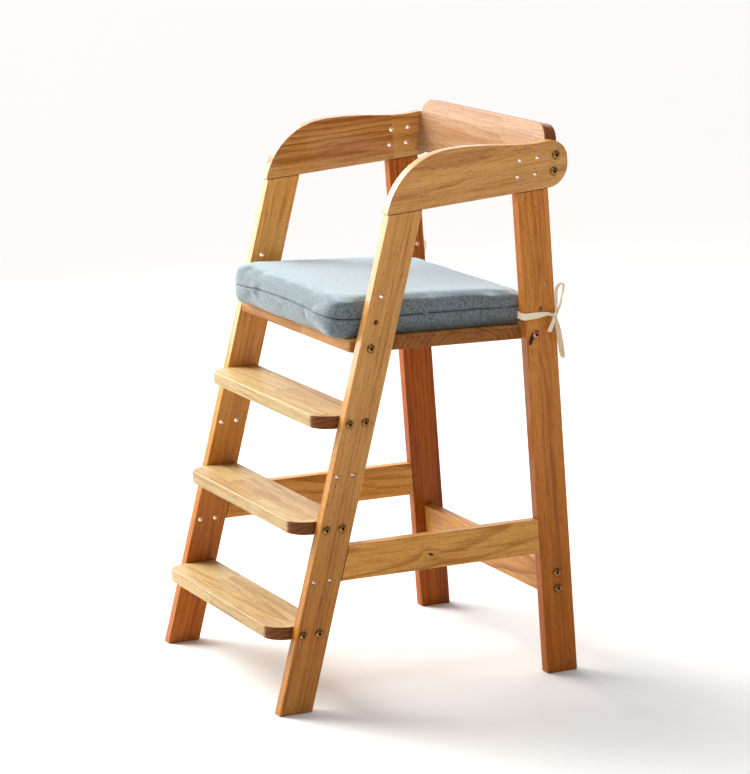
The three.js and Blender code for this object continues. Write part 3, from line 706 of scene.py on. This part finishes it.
GATHER_DEPTH = 0.0006
GATHER_WAVE = 620          # radians in a metre
PUCKER_DEPTH = 0.0003
PUCKER_SCALE = 85
PUCKER_REACH = 0.010       # above and below the side seam


def heather_cloth():
    """Plain weave of light and dark blue-grey yarns, paler on its upward faces as painted light and
    darker in the seam creases as painted shade.
    """
    material, g, shader = new_material(
        "heather_cloth", sheen_weight=1.0, sheen_roughness=0.40, roughness=0.95)
    shader["Sheen Tint"].default_value = (0.84, 0.94, 1.0, 1.0)
    place = g.node("TexCoord", output=3)
    normal = g.split(g.vector("ABSOLUTE", g.node("TexCoord", output=1)))
    x, y, z = g.split(place)
    pitch = 2 * math.pi / 0.0014
    waves = [g.math("SINE", g.math("MULTIPLY", axis, pitch)) for axis in (x, y, z)]
    squares = [g.math("MULTIPLY", n, n) for n in normal]
    pairs = ((1, 2), (0, 2), (0, 1))
    weave = 0.0
    for share, (a, b) in zip(squares, pairs):
        crossing = g.math("MULTIPLY", waves[a], waves[b])
        weave = g.math("ADD", weave, g.math("MULTIPLY", share, crossing))
    yarn = 0.0
    for stretch in ((220.0, 220.0, 1900.0), (1900.0, 220.0, 220.0), (220.0, 1900.0, 220.0)):
        yarn = g.math("ADD", yarn, g.noise(g.vector("MULTIPLY", place, stretch), detail=2.0))
    speck = g.noise(place, scale=420.0, detail=2.0, roughness=0.7)
    tone = g.math("ADD", g.ramp(yarn, 1.25, 1.75), g.math("MULTIPLY", weave, 0.16))
    tone = g.math("ADD", tone, g.math("MULTIPLY", g.math("SUBTRACT", speck, 0.5), 0.8))
    base = g.mix(g.ramp(tone, 0.0, 1.0), colour(76, 88, 93), colour(120, 135, 141))
    # Painted light: upward faces are mixed towards paler copies of the yarn colours, so the top looks
    # lit.
    brushing_and_painted_top_light = g.mix(g.ramp(tone, 0.0, 1.0), colour(132, 155, 168), colour(168, 190, 201))
    base = g.mix(g.ramp(g.split(g.node("TexCoord", output=1))[2], 0.70, 0.985), base, brushing_and_painted_top_light)
    # Painted shade: the seam creases are darkened by the seam attribute.
    seam = g.node("Attribute", attribute_name="seam", output=2)
    base = g.mix(g.math("MULTIPLY", seam, 0.8), base, colour(34, 38, 42))
    g.feed(shader["Base Color"], base)
    height = g.math("ADD", g.math("MULTIPLY", weave, 0.5), yarn)
    g.feed(shader["Normal"], g.bump(height, 0.0004, 0.7))
    return material


def cushion_start():
    """A box with rounded corners and edges, a little inside the CAD cushion, tilted as the seat."""
    low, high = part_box("seat_cushion")
    board_low, board_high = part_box("seat_board")
    tilt = Matrix.Rotation(-seat_tilt(), 4, "X")
    size = Vector((high.x - low.x - NARROWER, high.y - low.y - SHORTER, CUSHION_TALL))
    mesh = bmesh.new()
    bmesh.ops.create_cube(mesh, size=1.0)
    bmesh.ops.scale(mesh, vec=size, verts=mesh.verts)
    upright = [e for e in mesh.edges if abs((e.verts[0].co - e.verts[1].co).z) > 0.01]
    bmesh.ops.bevel(mesh, geom=upright, offset=CUSHION_CORNER, segments=6, profile=0.5,
                    affect="EDGES")
    for offset, sign in ((TOP_EDGE, 1), (BOTTOM_EDGE, -1)):
        rims = [e for e in mesh.edges if e.calc_face_angle() > math.radians(60)
                and all(v.co.z * sign > size.z / 2 - 1e-4 for v in e.verts)]
        bmesh.ops.bevel(mesh, geom=rims, offset=offset, segments=3, profile=0.5, affect="EDGES")
    for vertex in mesh.verts:
        share = vertex.co.z / size.z + 0.5
        vertex.co.z -= share * CUSHION_RISE * vertex.co.y / size.y
        if vertex.co.y < 0:
            vertex.co.y += FRONT_BOW * (2 * vertex.co.x / size.x) ** 2
    middle = (low + high) / 2
    seat = board_high.z - math.tan(seat_tilt()) * (middle.y - board_low.y)
    place = Vector((0, middle.y, seat + SEAT_CLEARANCE + size.z / 2))
    mesh.transform(Matrix.Translation(place) @ tilt)
    data = bpy.data.meshes.new("seat_cushion")
    mesh.to_mesh(data)
    mesh.free()
    return add_object("cloth_seat_cushion", data)


def seat_tilt():
    """How far the seat board falls towards the back, from the height of its top at both ends."""
    points = vertex_array(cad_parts["seat_board"].data)
    front = points[points[:, 1] < points[:, 1].min() + 0.001][:, 2].max()
    rear = points[points[:, 1] > points[:, 1].max() - 0.001][:, 2].max()
    return math.atan2(front - rear, points[:, 1].max() - points[:, 1].min())


def swell(piece):
    """Cloth simulation: the cover blows up by MOST_SWELL at the most, then is evened out."""
    remesh = piece.modifiers.new("remesh", "REMESH")
    remesh.mode = "VOXEL"
    remesh.voxel_size = VOXEL
    apply_modifiers(piece)
    before = vertex_array(piece.data)
    cloth = piece.modifiers.new("cloth", "CLOTH")
    cloth.settings.quality = 5
    cloth.settings.mass = 0.3
    cloth.settings.tension_stiffness = 12
    cloth.settings.compression_stiffness = 12
    cloth.settings.use_pressure = True
    cloth.settings.uniform_pressure_force = 4
    cloth.settings.effector_weights.gravity = 0
    scene = bpy.context.scene
    for step in range(SWELL_STEPS):
        scene.frame_set(step + 1)
    apply_modifiers(piece)
    scene.frame_set(1)
    moves = vertex_array(piece.data) - before
    lengths = np.linalg.norm(moves, axis=1, keepdims=True)
    capped = before + moves * np.minimum(1, MOST_SWELL / np.maximum(lengths, 1e-9))
    piece.data.vertices.foreach_set("co", capped.astype(np.float32).ravel())
    piece.data.update()
    even = piece.modifiers.new("even", "SMOOTH")
    even.factor = 0.5
    even.iterations = 8
    apply_modifiers(piece)


def make_cushion():
    piece = cushion_start()
    swell(piece)
    refine(piece, 1)
    shape_cushion(piece)
    piece.data.shade_smooth()
    piece.data.materials.append(heather_cloth())
    finish_piece(piece, "cushion_cloth", "seat_cushion")


def refine(piece, levels):
    subdivision = piece.modifiers.new("smooth", "SUBSURF")
    subdivision.levels = levels
    subdivision.render_levels = levels
    apply_modifiers(piece)


def cut_lines(mesh, geom, point, normal):
    """Cuts beside a seam, so that the mesh can crease there."""
    normal = normal.normalized()
    for offset in SEAM_LINES:
        geom = bmesh.ops.bisect_plane(mesh, geom=geom, plane_co=point + normal * offset,
                                      plane_no=normal, dist=1e-5)["geom"]


def clamp(value):
    return min(1, max(0, value))


def shape_cushion(piece):
    """The rolled front, the seams round the sides and at the corners, and the rest on the seat."""
    low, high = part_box("seat_cushion")
    board_low, board_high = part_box("seat_board")
    slope = math.tan(seat_tilt())
    middle = (low + high) / 2
    half = high.x - middle.x
    seat_middle = board_high.z - slope * (middle.y - board_low.y)
    seam = seat_middle + SEAM_SHARE * CUSHION_TALL
    mesh = bmesh.new()
    mesh.from_mesh(piece.data)
    for vertex in mesh.verts:
        point = vertex.co
        above = point.z - seat_middle + slope * (point.y - middle.y)
        lift = clamp((above - CUSHION_TALL / 2) / (CUSHION_TALL / 2)) ** 2
        front = clamp((low.y + ROLL_REACH - point.y) / ROLL_REACH)
        rear = clamp((point.y - high.y + DROP_REACH) / DROP_REACH)
        point.y += FRONT_ROLL * front * lift
        point.z -= (FRONT_DROP * front + REAR_DROP * rear) * lift
        point.z += SEAM_SAG * (point.x / half) ** 2
    cut_lines(mesh, mesh.verts[:] + mesh.edges[:] + mesh.faces[:],
              Vector((0, middle.y, seam)), Vector((0, slope, 1)))
    corners = [(Vector((sign_x * (high.x - CUSHION_CORNER), y, 0)), Vector((sign_x, sign_y)))
               for sign_x in (-1, 1)
               for sign_y, y in ((-1, low.y + CUSHION_CORNER), (1, high.y - CUSHION_CORNER))]
    for corner, ways in corners:
        near = {v for v in mesh.verts if (v.co - corner).to_2d().dot(ways) > CORNER_REACH}
        geom = list(near) + [e for e in mesh.edges if near.issuperset(e.verts)]
        geom += [f for f in mesh.faces if near.issuperset(f.verts)]
        cut_lines(mesh, geom, corner, Vector((ways.y, -ways.x, 0)))
    mesh.normal_update()
    mesh.verts.index_update()
    crease_shade_by_point = {}
    for vertex in mesh.verts:
        point = vertex.co
        level = clamp((1 - abs(vertex.normal.z)) * 2 - 0.4)
        above = point.z - seam + slope * (point.y - middle.y)
        crease = math.exp(-(above / SEAM_WIDTH) ** 2)
        mark = crease
        gather = 0.0
        for corner, ways in corners:
            away = (point - corner).to_2d()
            if away.dot(ways) < CORNER_REACH:
                continue
            aside = away.dot(Vector((ways.y, -ways.x))) / math.sqrt(2)
            share = 1 - clamp((-above - FADE_FROM) / FADE_RUN) if above < 0 else ABOVE_SHARE
            upright = math.exp(-(aside / SEAM_WIDTH) ** 2) * share
            crease = max(crease, upright * CORNER_DEPTH)
            mark = max(mark, upright * CORNER_SHADE)
            gather = math.exp(-(aside / GATHER_REACH) ** 2) * math.cos(aside * GATHER_WAVE)
        pucker = noise.noise(point * PUCKER_SCALE) * PUCKER_DEPTH + gather * GATHER_DEPTH
        inwards = SEAM_DEPTH * crease + pucker * math.exp(-(above / PUCKER_REACH) ** 2)
        # Painted shade for the seam creases, kept in the seam attribute.
        crease_shade_by_point[vertex.index] = mark * level
        vertex.co -= vertex.normal * inwards * level
    for vertex in mesh.verts:
        point = vertex.co
        point.z -= SEAM_SAG * (point.x / half) ** 2
        seat = board_high.z - slope * (point.y - board_low.y) + SEAT_CLEARANCE
        tuck = TUCK * clamp(1 - (point.z - seat) / TUCK_HEIGHT) ** 2
        point.x -= math.copysign(tuck * clamp((abs(point.x) - half) / TUCK_HEIGHT + 1), point.x)
        point.y += tuck * clamp((low.y - point.y) / TUCK_HEIGHT + 1)
        point.z = max(point.z, seat)
        room = SIDE_INNER - FRAME_CLEARANCE
        point.x = max(-room, min(room, point.x))
    painted_crease_shade = [crease_shade_by_point[vertex.index] for vertex in mesh.verts]
    mesh.to_mesh(piece.data)
    mesh.free()
    piece.data.attributes.new("seam", "FLOAT", "POINT").data.foreach_set("value", painted_crease_shade)


make_cushion()

# ---------------------------------------------------------------- ties

TAPE_WIDTH = 0.010
TAPE_THICK = 0.0007
CROSS = (-1.0, -0.5, 0.0, 0.5, 1.0)     # places across the tape
SIDE_OUTER = 0.210         # outer faces of the side frames
LEG_WIDTH = 0.052
LEG_FALL = 0.0631          # how far a rear leg's edge moves forward over its height
OFF_WOOD = 0.0011          # from the wood to the middle of the tape
BOW_RISE = 0.0455          # from the tape to the top of the bow
KNOT_OUT = 0.0048
KNOT_FORWARD = 0.0055
KNOT_DROP = 0.0025


def cotton_tape():
    """Cream cotton tape; its attribute "tape" is metres along and across it."""
    material, g, shader = new_material(
        "cotton_tape", sheen_weight=0.4, sheen_roughness=0.5, roughness=0.9)
    along, across, _ = g.split(g.node("Attribute", attribute_name="tape", output=1))
    ribs = g.math("SINE", g.math("MULTIPLY", along, 2 * math.pi / 0.0009))
    slant = g.math("SINE", g.math("MULTIPLY", g.math("ADD", along, g.math("ABSOLUTE", across)),
                                  2 * math.pi / 0.0016))
    place = g.node("TexCoord", output=3)
    fuzz = g.noise(place, scale=1400.0, detail=3.0)
    edge = g.ramp(g.math("ABSOLUTE", across), 0.0038, 0.0050)
    tone = g.math("ADD", g.math("MULTIPLY", ribs, 0.15), g.math("MULTIPLY", slant, 0.20))
    tone = g.math("ADD", g.math("ADD", tone, fuzz), g.math("MULTIPLY", edge, -0.2))
    base = g.mix(g.ramp(tone, 0.1, 0.9), colour(224, 202, 166), colour(252, 238, 212))
    g.feed(shader["Base Color"], base)
    g.feed(shader["Normal"], g.bump(tone, 0.0002, 0.6))
    return material


def curve_points(points, steps=10):
    """A smooth run through the points: Catmull-Rom, steps to a span."""
    points = [Vector(p) for p in points]
    ends = [2 * points[0] - points[1], *points, 2 * points[-1] - points[-2]]
    made = []
    for a, b, c, d in zip(ends, ends[1:], ends[2:], ends[3:]):
        for i in range(steps):
            t = i / steps
            made.append(0.5 * ((2 * b) + (c - a) * t + (2 * a - 5 * b + 4 * c - d) * t * t
                               + (3 * b - a - 3 * c + d) * t ** 3))
    return made + [points[-1]]


def tape_strip(mesh, layer, path, sides, widths, curl=0.0):
    """Adds a strip of tape and returns its length. sides say which way its width lies at each point
    of the path, widths how wide it is, and curl how far it is folded lengthwise."""
    line = curve_points(path)
    ways = curve_points(sides)
    wide = curve_points([(w, 0, 0) for w in widths])
    done, rows = 0.0, []
    for i, point in enumerate(line):
        ahead = line[min(i + 1, len(line) - 1)] - line[max(i - 1, 0)]
        tangent = ahead.normalized()
        way = (ways[i] - tangent * ways[i].dot(tangent)).normalized()
        face = tangent.cross(way)
        if i:
            done += (point - line[i - 1]).length
        width = wide[i].x
        row = []
        for side in (0.5, -0.5):
            for share in CROSS:
                fold = curl * width * (share * share - 0.4)
                place = point + way * share * width / 2 + face * (fold + side * TAPE_THICK)
                vertex = mesh.verts.new(place)
                vertex[layer] = Vector((done, share * TAPE_WIDTH / 2, side))
                row.append(vertex)
        rows.append(row)
    count = len(CROSS)
    order = list(range(count)) + list(range(2 * count - 1, count - 1, -1))
    for first, second in zip(rows, rows[1:]):
        for a, b in zip(order, order[1:] + order[:1]):
            mesh.faces.new((first[a], first[b], second[b], second[a]))
    mesh.faces.new([rows[0][k] for k in reversed(order)])
    mesh.faces.new([rows[-1][k] for k in order])
    return done


def make_tie(side, sign, material):
    """Tape sewn to the cushion's corner, passed round the rear leg and tied in a bow."""
    leg_low, leg_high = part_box(f"rear_leg_{side}")
    lean = math.atan2(LEG_FALL, leg_high.z - leg_low.z)
    _, tie_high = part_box(f"cushion_tie_{side}")
    height = tie_high.z - BOW_RISE
    rear = leg_high.y - math.tan(lean) * height
    front = rear - LEG_WIDTH
    outer, inner = SIDE_OUTER + OFF_WOOD, SIDE_INNER - OFF_WOOD
    up = Vector((0, 0, 1))

    def at(x, y, z):
        return Vector((sign * x, y, height + z))

    mesh = bmesh.new()
    layer = mesh.verts.layers.float_vector.new("tape")
    knot = at(outer + KNOT_OUT, rear - KNOT_FORWARD, -KNOT_DROP)
    out, back = Vector((sign, 0, 0)), Vector((0, 1, 0))
    full, tight = TAPE_WIDTH, TAPE_WIDTH * 0.55
    total = tape_strip(
        mesh, layer,
        [at(inner - 0.0050, front + 0.004, -0.002), at(inner - 0.001, front - 0.0012, -0.002),
         at(inner + 0.004, front - 0.0016, -0.002), at(outer - 0.004, front - 0.0016, -0.002),
         at(outer - 0.0006, front - 0.0008, -0.002), at(outer, front + 0.004, -0.0018),
         at(outer + 0.0002, front + 0.020, -0.0010), at(outer + 0.0012, rear - 0.016, 0.0000),
         knot],
        [up, up, up, up, up, up, up, up + 0.2 * out, up + 0.6 * out],
        [full, full, full, full, full, full, full * 0.92, tight, tight * 0.8], curl=0.05)
    total += tape_strip(
        mesh, layer,
        [at(inner - 0.0040, front + 0.010, -0.001), at(inner, front + 0.016, -0.001),
         at(inner, rear - 0.006, 0), at(inner + 0.001, rear + 0.0012, 0),
         at(inner + 0.006, rear + 0.0016, 0), at(outer - 0.004, rear + 0.0018, 0.0),
         at(outer + 0.0006, rear + 0.0012, -0.0008), knot],
        [up, up, up, up, up, up, up + 0.2 * back, up + 0.4 * back],
        [full, full, full, full, full * 0.95, full * 0.8, tight, tight * 0.8], curl=0.05)
    total += bow(mesh, layer, knot, out, back, up)
    bmesh.ops.recalc_face_normals(mesh, faces=mesh.faces)
    data = bpy.data.meshes.new(f"cushion_tie_{side}")
    mesh.to_mesh(data)
    mesh.free()
    data.shade_smooth()
    data.set_sharp_from_angle(angle=math.radians(50))
    data.materials.append(material)
    piece = add_object(f"tape_cushion_tie_{side}", data)
    finish_piece(piece, "tie_tape", f"cushion_tie_{side}")


def bow(mesh, layer, knot, out, back, up):
    """The wrapped knot, one loop standing up, one hanging down, and a short end."""
    def near(o, b, u):
        return knot + out * o + back * b + up * u

    wide, slim = TAPE_WIDTH * 0.85, TAPE_WIDTH * 0.5
    total = tape_strip(
        mesh, layer,
        [near(-0.0005, -0.0035, -0.0030), near(0.0030, -0.0030, -0.0005),
         near(0.0034, 0.0002, 0.0036), near(0.0004, 0.0034, 0.0036),
         near(-0.0010, 0.0036, -0.0006), near(0.0008, 0.0008, -0.0042),
         near(-0.0005, -0.0030, -0.0034)],
        [back + up, back + up, back - up, up, out + up, out, back], [slim] * 7, curl=0.25)
    total += tape_strip(
        mesh, layer,
        [near(0.0006, 0.0008, 0.001), near(0.0020, 0.0010, 0.014), near(0.0026, 0.0002, 0.030),
         near(0.0026, 0.0008, 0.0400), near(0.0020, 0.0068, 0.0474),
         near(0.0008, 0.0136, 0.0462), near(0.0002, 0.0142, 0.0380),
         near(-0.0002, 0.0120, 0.0264), near(-0.0002, 0.0088, 0.0134), near(0, 0.0026, 0.002)],
        [out, out, out + 0.15 * back, out + 0.2 * back, out, out - 0.1 * back, out - 0.2 * back,
         out - 0.25 * back, out, out],
        [slim, wide * 0.7, wide * 0.8, wide * 0.8, wide * 0.9, wide * 0.9, wide * 0.9,
         wide * 0.8, slim * 1.1, slim], curl=0.10)
    total += tape_strip(
        mesh, layer,
        [near(0.0006, 0.0016, -0.001), near(0.0016, 0.0052, -0.014), near(0.0022, 0.0090, -0.032),
         near(0.0018, 0.0128, -0.050), near(0.0008, 0.0155, -0.061), near(-0.0008, 0.0142, -0.0640),
         near(-0.0018, 0.0116, -0.059), near(-0.0016, 0.0080, -0.044),
         near(-0.0010, 0.0040, -0.020), near(-0.0002, 0.0012, -0.001)],
        [out, out + 0.2 * back, out + 0.3 * back, out + 0.2 * back, out, out, out - 0.2 * back,
         out - 0.3 * back, out, out],
        [slim, wide * 0.8, wide, wide, wide, wide, wide, wide, wide * 0.8, slim], curl=0.10)
    total += tape_strip(
        mesh, layer,
        [near(0.0010, -0.0008, -0.001), near(0.0022, -0.0034, -0.008),
         near(0.0016, -0.0066, -0.016), near(0.0006, -0.0096, -0.0235)],
        [back + 0.4 * out, back, back + 0.2 * up, back], [slim, slim * 1.2, wide * 0.85, wide * 0.8],
        curl=0.08)
    return total


def make_ties():
    material = cotton_tape()
    for side, sign in SIDES.items():
        make_tie(side, sign, material)


make_ties()

# ---------------------------------------------------------------- floor and light

CHAIR_MIDDLE = 0.45
FLOOR_SIZE = 30
BACKDROP = direction(math.radians(-112), math.radians(10))


def make_floor():
    mesh = bmesh.new()
    bmesh.ops.create_grid(mesh, x_segments=4, y_segments=4, size=FLOOR_SIZE)
    data = bpy.data.meshes.new("floor")
    mesh.to_mesh(data)
    mesh.free()
    material, _, shader = new_material("pale_floor", roughness=0.9)
    shader["Base Color"].default_value = (0.81, 0.81, 0.812, 1)
    data.materials.append(material)
    add_object("floor", data)


def soft_light(name, azimuth, elevation, distance, size, watts, tint):
    """A round soft box that faces the chair."""
    data = bpy.data.lights.new(name, "AREA")
    data.shape = "DISK"
    data.size = size
    data.energy = watts
    data.color = tint
    aim_light(name, data, azimuth, elevation, distance)


def aim_light(name, data, azimuth, elevation, distance):
    light = add_object(name, data)
    away = direction(math.radians(azimuth), math.radians(elevation))
    light.location = Vector((0, 0, CHAIR_MIDDLE)) + away * distance
    light.rotation_euler = (-away).to_track_quat("-Z", "Y").to_euler()


def make_light():
    """A dim room, brighter beyond the chair's far side, with window light from the front left and
    soft boxes that the lacquered edges mirror."""
    world = bpy.data.worlds.new("studio")
    world.use_nodes = True
    g = Graph(world.node_tree)
    facing = g.node("VectorMath", {0: g.node("TexCoord", output=0), 1: tuple(BACKDROP)},
                    output=1, operation="DOT_PRODUCT")
    background = world.node_tree.nodes["Background"].inputs
    background["Color"].default_value = (0.96, 0.98, 1, 1)
    g.feed(background["Strength"], g.ramp(facing, 0.3, 0.95, 0.24, 1.6))
    bpy.context.scene.world = world
    bpy.context.scene.view_settings.view_transform = "Standard"
    window = bpy.data.lights.new("window", "SUN")
    window.angle = math.radians(46)
    window.energy = 3.3
    window.color = (1.0, 0.97, 0.92)
    aim_light("window", window, -62, 40, 4)
    soft_light("front", -50, 32, 1.7, 0.9, 21, (1.0, 0.97, 0.93))
    soft_light("leg_gloss", -60, 11, 2.5, 0.9, 16, (1.0, 0.98, 0.95))
    soft_light("edge_gloss", -88, 19, 3.0, 1.6, 34, (1.0, 0.98, 0.95))
    soft_light("side", 75, 52, 1.35, 0.5, 5, (1.0, 0.97, 0.93))


make_floor()
make_light()
